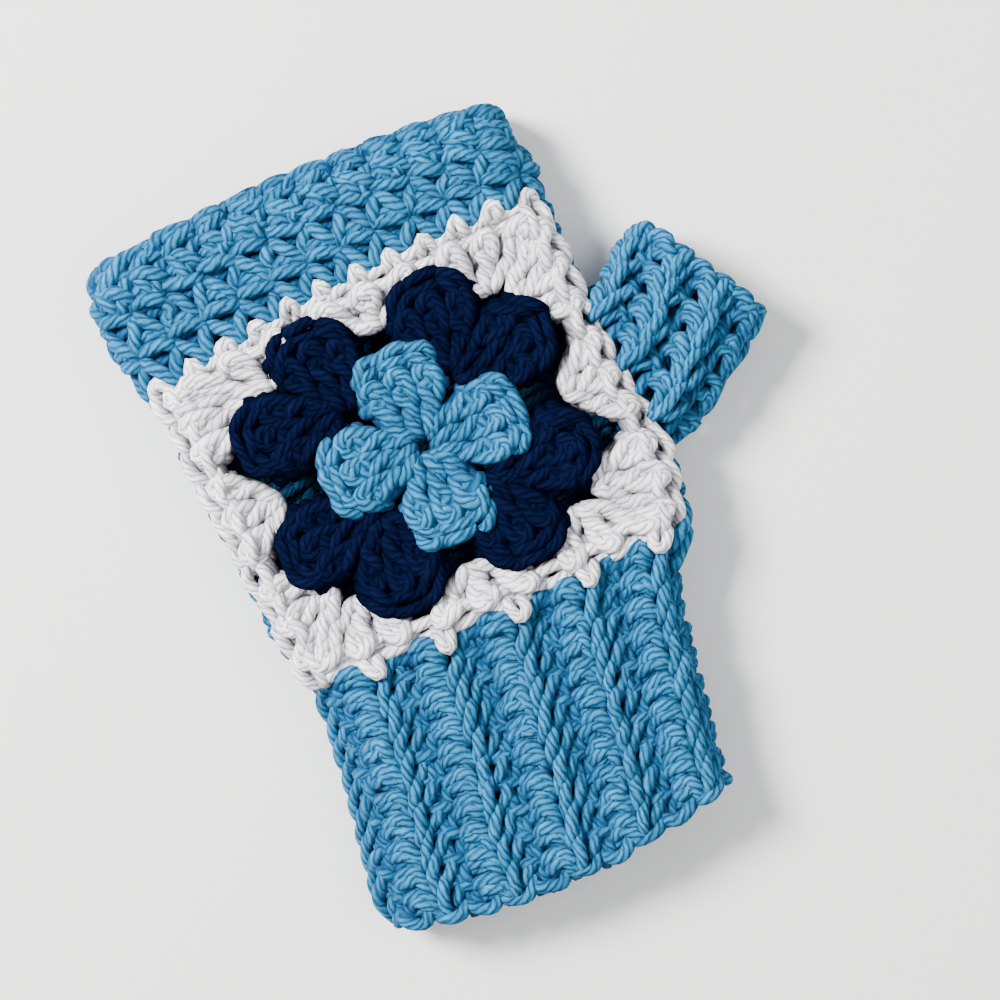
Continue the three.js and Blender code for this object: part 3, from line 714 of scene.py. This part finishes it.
class GLOVE_OT_knuckle_band(YarnPiece, bpy.types.Operator):
    """Lay the knuckle band's three rows"""

    bl_idname = "glove.knuckle_band"
    bl_label = "Knuckle band"
    seed, node, colour = 12, "knuckle_band", "light_blue"
    rows: IntProperty(name="Rows", description="Rows round the band", default=3, min=1)

    def stitches(self, hand, yarn, sizes):
        columns = round(hand.lap(KNUCKLE_SEAM, KNUCKLE_EDGE) * MM / sizes.stitch)
        run = hand.run(KNUCKLE_SEAM, KNUCKLE_EDGE)

        on_band = partial(hand.on_hand, KNUCKLE_SEAM, KNUCKLE_EDGE)
        reach = 0.97  # share of the way to the knuckle edge where the last row ends

        def place(across, up, out):
            return on_band(reach * up / self.rows, across / columns, out - 0.2)

        cell = (sizes.stitch / MM, run / self.rows)
        origins = grid(columns, self.rows, ROW_SHIFTS)
        lay_stitches(yarn, STITCH, origins[:-columns], place, cell, thick=1.12)
        legs = {name: strand for name, strand in STITCH.items() if name != "top"}
        lay_stitches(yarn, legs, origins[-columns:], place, cell, thick=1.12)
        lay_stitches(yarn, STITCH_EDGE, origins[-columns:], place, cell, thick=1.12)
        lap = np.linspace(0, 1, 120)[None]
        for t in (0.01, 0.87):
            lay_line(yarn, on_band, -1.0, 0 * lap + t, lap)

        # A chain stands on edge along the rim, so that its lip looks worked from the end too. Its painted shade is
        # measured towards the end, so from there its tops are painted lighter than its sides.
        def at_rim(along, across, out):
            return on_band(0.92 + out / run, along / columns, 0.8 * across - 0.6)

        lay_chain(yarn, range(columns), at_rim, pitch=sizes.stitch / MM)


class GLOVE_OT_palm_panel(YarnPiece, bpy.types.Operator):
    """Lay the plain palm panel"""

    bl_idname = "glove.palm_panel"
    bl_label = "Palm panel"
    seed, node, colour = 13, "palm_panel", "light_blue"

    def stitches(self, hand, yarn, sizes):
        start = hand.fold_share(PALM_TURN)
        width = (1 - 2 * start) * hand.lap(CUFF_SEAM, KNUCKLE_SEAM)
        run = hand.run(CUFF_SEAM, KNUCKLE_SEAM)
        columns, rows = round(width * MM / sizes.stitch), round(run * MM / sizes.stitch)
        on_palm = partial(hand.on_hand, CUFF_SEAM, KNUCKLE_SEAM)

        def place(across, up, out):
            share = mix(start, 1 - start, np.clip((across + 0.25) / columns, 0.01, 0.99))
            return on_palm(np.clip((up + 0.15) / rows, 0.02, 0.98), share, out - 0.2)

        lay_stitches(yarn, STITCH, grid(columns, rows, (0.0, 0.5)), place, (sizes.stitch / MM, run / rows))
        t = np.linspace(0.02, 0.98, 60)[None]
        for share in (start, 1 - start):
            lay_line(yarn, on_palm, -0.8, t, 0 * t + share)


class GLOVE_OT_thumb_sleeve(YarnPiece, bpy.types.Operator):
    """Lay the thumb's ribbed sleeve"""

    bl_idname = "glove.thumb_sleeve"
    bl_label = "Thumb sleeve"
    seed, node, colour = 14, "thumb_sleeve", "light_blue"
    ribs: IntProperty(name="Ribs", description="Ribs round the thumb", default=7, min=3)
    rows: IntProperty(name="Rows", description="Stitches along a rib", default=4, min=2)
    slant: FloatProperty(name="Slant", description="Ribs that the stitches drift round by the mouth", default=-0.5)

    def stitches(self, hand, yarn, sizes):
        def place(across, up, out):
            share = (across + self.slant * up / self.rows) / self.ribs
            return hand.on_thumb(np.clip((up + 0.3) / self.rows, -0.05, 1.05), share, out - RIB_LOW)

        cell = (2 * THUMB_BASE / self.ribs, THUMB_REACH / self.rows)
        lay_ribs(yarn, self.ribs, self.rows, place, cell, ridge_rows=self.rows, close=False)

        def at_mouth(across, up, out):
            return place(across / 2, self.rows - 0.55 - up, out)

        yarn.lay(HEM_LOOP, grid(2 * self.ribs, 1), at_mouth, cell)


def lobe(row, step):
    """How far along a cluster's top and how far in from it a place is, some stitches from its middle.
    A cluster that isn't held straight by its neighbours is rounded at the corners."""
    if row["sag"] == 0:
        return step * row["lean"] * row["reach"], 0 * step
    aside = 1.25 * np.tanh(step / 1.25) * row["lean"] * row["reach"]
    return aside, 1.8 * np.maximum(np.abs(step) - 0.3, 0)**2 * row["sag"]


class Posts:
    """The tall stitches of one round of the square, three to a cluster."""

    def __init__(self, hand, name):
        self.hand = hand
        self.round = ROUNDS[name]
        self.is_border = name == "border"
        rows = [(side, top, *foot, k) for side in range(4)
                for top, foot in zip(self.round["tops"], self.round["feet"]) for k in (-1, 0, 1)]
        self.side, self.top, self.foot_along, self.foot_out, self.k = np.array(rows).T[:, :, None]
        self.side = self.side.astype(int)
        half_x, half_y = hand.half_sides(self.round)
        upright = self.side % 2 == 1
        self.along_size, self.out_size = np.where(upright, half_y, half_x), np.where(upright, half_x, half_y)

    def place(self, across, up, out):
        """Points of each post: across in millimetres, up from its feet at 0 to its chain at 1."""
        r = self.round
        t = np.clip(up, 0, 1.2)
        spread = mix(r["foot"] / r["reach"], 1, t ** r["fullness"])
        aside, drop = lobe(r, self.k)
        along = mix(self.foot_along, self.top, t) + aside * spread + across / self.along_size
        tip = 1 - r["inset"] / self.out_size
        outward = mix(self.foot_out, tip, up) - t * drop
        side = np.broadcast_to(self.side, along.shape)
        x, y = self.hand.charted(side, r, along, outward)
        if self.is_border:
            x, y = self.within_rim(x, y)
        # Low feet rise between 0.4 and 0.8 of the way up.
        return self.hand.on_back(x, y, out - r["low"] * np.clip(2 - 2.5 * t, 0, 1))

    def within_rim(self, x, y):
        """The chart drawn in a little where the seams are nearer than the square's straight sides."""
        hand = self.hand
        centre_y = hand.length * SQUARE_CENTRE[1]
        half_x, half_y = hand.half_sides(self.round)
        left, right = hand.edges(y)
        side = np.clip((2 * x - left - right) / (right - left), -1, 1)
        top, bottom = hand.seam_at(KNUCKLE_SEAM, side), hand.seam_at(CUFF_SEAM, side)
        high = np.where(y > centre_y, (top - centre_y) / half_y, (centre_y - bottom) / half_y)
        y = centre_y + (y - centre_y) * mix(1, high, np.clip(np.abs(y - centre_y) / half_y, 0, 1))
        middle = hand.width * SQUARE_CENTRE[0]
        rim = np.where(x > middle, hand.fold_x(y, 1, PALM_TURN) - middle, middle - hand.fold_x(y, -1, PALM_TURN))
        wide = mix(1, rim / half_x, np.clip(np.abs(x - middle) / half_x, 0, 1))
        return middle + (x - middle) * wide, y


def lay_posts(yarn, posts, plump):
    """Each post is two strands laid round each other, wider towards its head, one that arches over
    its head, and five that close the wall under it."""
    origins = np.zeros((len(posts.k), 2))
    t = np.linspace(0, 1, 13)
    # The two start 0.7 mm from the post's middle line and end 1.5 mm from it. Their ends are sunk.
    for strand in range(2):
        phase = 2 * pi * (POST_TURNS * t + strand / 2) + 0.6
        reach = mix(0.7, 1.5, t**0.8) * plump
        table = np.stack([reach * np.cos(phase), mix(-0.05, 1.0, t), mix(0.4, 1.1, t) + 0.8 * np.sin(phase)], -1)
        table[0, 2] -= 1.4
        table[-1, 2] -= 1.6
        yarn.lay(table, origins, posts.place, POST_CELL, loose=0.15, thick=1.1)
    for side in (-1, 1):
        under = ((side * 0.6, 0.02, -1.6), (side * 2.0, 0.5, -0.9), (side * 2.8, 0.98, -0.9))
        yarn.lay(under, origins, posts.place, POST_CELL, loose=0.12)
    # Being lower, the border's behind strands also count lower for the painted shade, so the gaps between its posts
    # are painted darker.
    low = 0.6 * posts.round["low"]  # so that they stay under the round inside too
    for up, out in ((1.04, 0.2), (0.86, 0.5), (0.68, 0.3)):
        behind = ((-4.4, up - 0.06, -1.2), (-1.6, up, out - low), (1.6, up, out - low), (4.4, up - 0.06, -1.2))
        yarn.lay(behind, origins, posts.place, POST_CELL, loose=0.12, thick=1.5)
    yarn.lay(POST_HEAD, origins, posts.place, POST_CELL, loose=0.15, thick=1.1)


def lay_cluster_chains(yarn, hand, name, spread=0.6):
    """The chain round the outside of each cluster of a round, which rounds its corners, and two
    strands that close the wall under it."""
    r = ROUNDS[name]
    for side in range(4):
        size = hand.half_sides(r)[1 - side % 2]
        for top in r["tops"]:
            def place(along, across, out):
                aside, drop = lobe(r, along)
                outward = 1 - 0.5 * r["inset"] / size - drop + across / size
                x, y = hand.charted(np.full(along.shape, side), r, top + aside * (1 + 0.06 * across), outward)
                return hand.on_back(x, y, out + 1.0)

            # Three links, and the strands under them, reach half a stitch past the outer two.
            lay_chain(yarn, (-1.5, -0.53, 0.45), place, spread=spread)
            along = np.linspace(-1.5, 1.5, 25)[None]
            for across, low in ((-1.7, 0.3), (-0.3, 1.5)):
                yarn.sweep(lambda lift: place(along, across, lift - low), 1 - low + 0 * along, 1.4)


class GLOVE_OT_flower_round(YarnPiece, bpy.types.Operator):
    """Lay the square's first round"""

    bl_idname = "glove.flower_round"
    bl_label = "Flower round"
    seed, node, colour = 21, "flower_round", "light_blue"

    def stitches(self, hand, yarn, sizes):
        lay_posts(yarn, Posts(hand, "flower"), plump=1.15)
        lay_cluster_chains(yarn, hand, "flower")
        # The ring that the first round is worked into.
        radius = 3.4
        angle = np.linspace(0, 2 * pi, 25)[None]
        x = hand.width * SQUARE_CENTRE[0] + radius * np.cos(angle)
        y = hand.length * SQUARE_CENTRE[1] + radius * np.sin(angle)
        yarn.sweep(lambda lift: hand.on_back(x, y, lift - 0.2), 0 * x - 0.2)


class GLOVE_OT_petal_round(YarnPiece, bpy.types.Operator):
    """Lay the square's second round"""

    bl_idname = "glove.petal_round"
    bl_label = "Petal round"
    seed, node, colour = 22, "petal_round", "navy"

    def stitches(self, hand, yarn, sizes):
        lay_posts(yarn, Posts(hand, "petals"), plump=1.4)
        lay_cluster_chains(yarn, hand, "petals", spread=0.75)


class GLOVE_OT_border_round(YarnPiece, bpy.types.Operator):
    """Lay the square's third round, which turns over the folds"""

    bl_idname = "glove.border_round"
    bl_label = "Border round"
    seed, node, colour = 23, "border_round", "white"

    def stitches(self, hand, yarn, sizes):
        lay_posts(yarn, Posts(hand, "border"), plump=1.1)
        over = hand.fold_share(PALM_TURN)
        run = hand.run(CUFF_SEAM, KNUCKLE_SEAM)
        lap = hand.lap(CUFF_SEAM, KNUCKLE_SEAM)
        inset = 3.1  # mm from the seams and the palm's edges to the chains
        across_links = round(2 * over * lap * MM / sizes.stitch)
        along_links = round(run * MM / sizes.stitch)
        turn = over - inset / lap
        on_wall = partial(hand.on_hand, CUFF_SEAM, KNUCKLE_SEAM)

        def bottom(along, across, out):
            return on_wall((inset + 0.8 - across) / run, mix(turn, -turn, along / across_links), out - 1.1)

        def left(along, across, out):
            return on_wall(mix(0.01, 0.99, along / along_links), -turn + (0.5 - across) / lap, out + 0.9)

        def right(along, across, out):
            return on_wall(mix(0.99, 0.01, along / along_links), turn + (across - 0.5) / lap, out + 0.9)

        def top(along, across, out):
            return on_wall(1 - (inset - across) / run, mix(-turn, turn, along / across_links), out - 1.1)

        for place, links in ((top, across_links), (bottom, across_links), (left, along_links), (right, along_links)):
            lay_chain(yarn, range(links), place)
        t = np.linspace(0.02, 0.98, 60)[None]
        # A thick strand closes the wall 2.4 mm inside each side's chain.
        for way in (-1, 1):
            lay_line(yarn, on_wall, -0.3, t, way * (turn - 2.4 / lap) + 0 * t, thick=1.5)

        columns = round(hand.lap(KNUCKLE_SEAM, KNUCKLE_EDGE) * MM / sizes.stitch)
        ribs = round(hand.lap(WRIST_EDGE, CUFF_SEAM) * MM / sizes.rib)

        def at_band(across, up, out):
            return on_wall(1 + up / run, across / columns, out)

        def at_cuff(across, up, out):
            return on_wall(up / run, (across + RIB_PHASE) / ribs, out + 0.6)

        bumps = np.array([[i + 0.5, 0.5 * sin(5 * i)] for i in range(-columns, columns)
                          if abs(i + 0.5) / columns < over])
        drips = np.array([[i, 0.0] for i in range(-ribs, ribs) if abs(i + RIB_PHASE) / ribs < over])
        yarn.lay(SEAM_BUMP, bumps, at_band, (sizes.stitch / MM, 1.0))
        yarn.lay(SEAM_DRIP, drips, at_cuff, (sizes.rib / MM, 1.0))


class GLOVE_OT_stage(bpy.types.Operator):
    """Set the pale floor, the soft studio lights and the camera over the glove"""

    bl_idname = "glove.stage"
    bl_label = "Stage"
    tilt: FloatProperty(name="Tilt", description="How far the glove leans to the left in the picture",
                        default=radians(22), subtype="ANGLE")

    def execute(self, context):
        scene = context.scene
        floor_colour = bpy.data.materials.new("matt_paper_backdrop")
        floor_colour.use_nodes = True
        surface = floor_colour.node_tree.nodes["Principled BSDF"]
        surface.inputs["Base Color"].default_value = linear("#F4F3F1")
        surface.inputs["Roughness"].default_value = 0.9
        bpy.ops.object.select_all(action="DESELECT")
        bpy.ops.mesh.primitive_plane_add(size=6, location=(0, 0, -0.0002))
        floor = context.object
        floor.name = "stage_floor"
        floor.data.materials.append(floor_colour)

        world = bpy.data.worlds.new("soft_studio")
        scene.world = world
        world.use_nodes = True
        world.node_tree.nodes["Background"].inputs["Color"].default_value = linear("#F6F8FC")
        world.node_tree.nodes["Background"].inputs["Strength"].default_value = 0.62
        for name, place, size, power in (  # metres, metres across and watts
            ("key_light", (-0.6, 0.6, 0.75), 0.35, 44.0),
            ("fill_light", (0.6, -0.2, 1.0), 0.9, 8.0),
        ):
            light = bpy.data.lights.new(name, "AREA")
            light.shape = "SQUARE"
            light.size = size
            light.energy = power
            lamp = bpy.data.objects.new(name, light)
            lamp.location = place
            lamp.rotation_euler = (-Vector(place)).to_track_quat("-Z", "Y").to_euler()
            scene.collection.objects.link(lamp)

        camera = bpy.data.cameras.new("camera")
        camera.sensor_width = 36
        camera.lens = 85
        eye = bpy.data.objects.new("camera", camera)
        low, high = (Vector(corner) for corner in CAD_BOX)
        middle = (low + high) / 2
        corners = [Vector((x - middle.x, y - middle.y, 0)) for x in (low.x, high.x) for y in (low.y, high.y)]
        turn = Matrix.Rotation(self.tilt, 3, "Z")
        reach = max(max(abs(c.x), abs(c.y)) for c in (turn @ corner for corner in corners))
        margin = 1.06  # of the glove's reach, left free round it
        distance = reach * margin / (camera.sensor_width / 2 / camera.lens)
        eye.location = (middle.x, middle.y, high.z + distance)
        eye.rotation_euler = (0, 0, -self.tilt)
        scene.collection.objects.link(eye)
        scene.camera = eye
        return {"FINISHED"}


OPERATORS = (
    GLOVE_OT_wrist_cuff, GLOVE_OT_palm_panel, GLOVE_OT_flower_round, GLOVE_OT_petal_round, GLOVE_OT_border_round,
    GLOVE_OT_knuckle_band, GLOVE_OT_thumb_sleeve, GLOVE_OT_stage,
)


class GLOVE_PT_panel(bpy.types.Panel):
    """The glove's sizes, colours and pieces"""

    bl_label = "Crochet glove"
    bl_space_type = "VIEW_3D"
    bl_region_type = "UI"
    bl_category = "Glove"

    def draw(self, context):
        for group in (context.scene.glove_sizes, context.scene.glove_colours):
            for name in group.__annotations__:
                self.layout.prop(group, name)
        for operator in OPERATORS:
            self.layout.operator(operator.bl_idname)


CLASSES = (GloveSizes, GloveColours, *OPERATORS, GLOVE_PT_panel)


def register():
    for made in CLASSES:
        bpy.utils.register_class(made)
    bpy.types.Scene.glove_sizes = PointerProperty(type=GloveSizes)
    bpy.types.Scene.glove_colours = PointerProperty(type=GloveColours)


def unregister():
    del bpy.types.Scene.glove_colours
    del bpy.types.Scene.glove_sizes
    for made in reversed(CLASSES):
        bpy.utils.unregister_class(made)


def main():
    register()
    for operator in OPERATORS:
        group, name = operator.bl_idname.split(".")
        getattr(getattr(bpy.ops, group), name)()


if __name__ == "__main__":
    main()
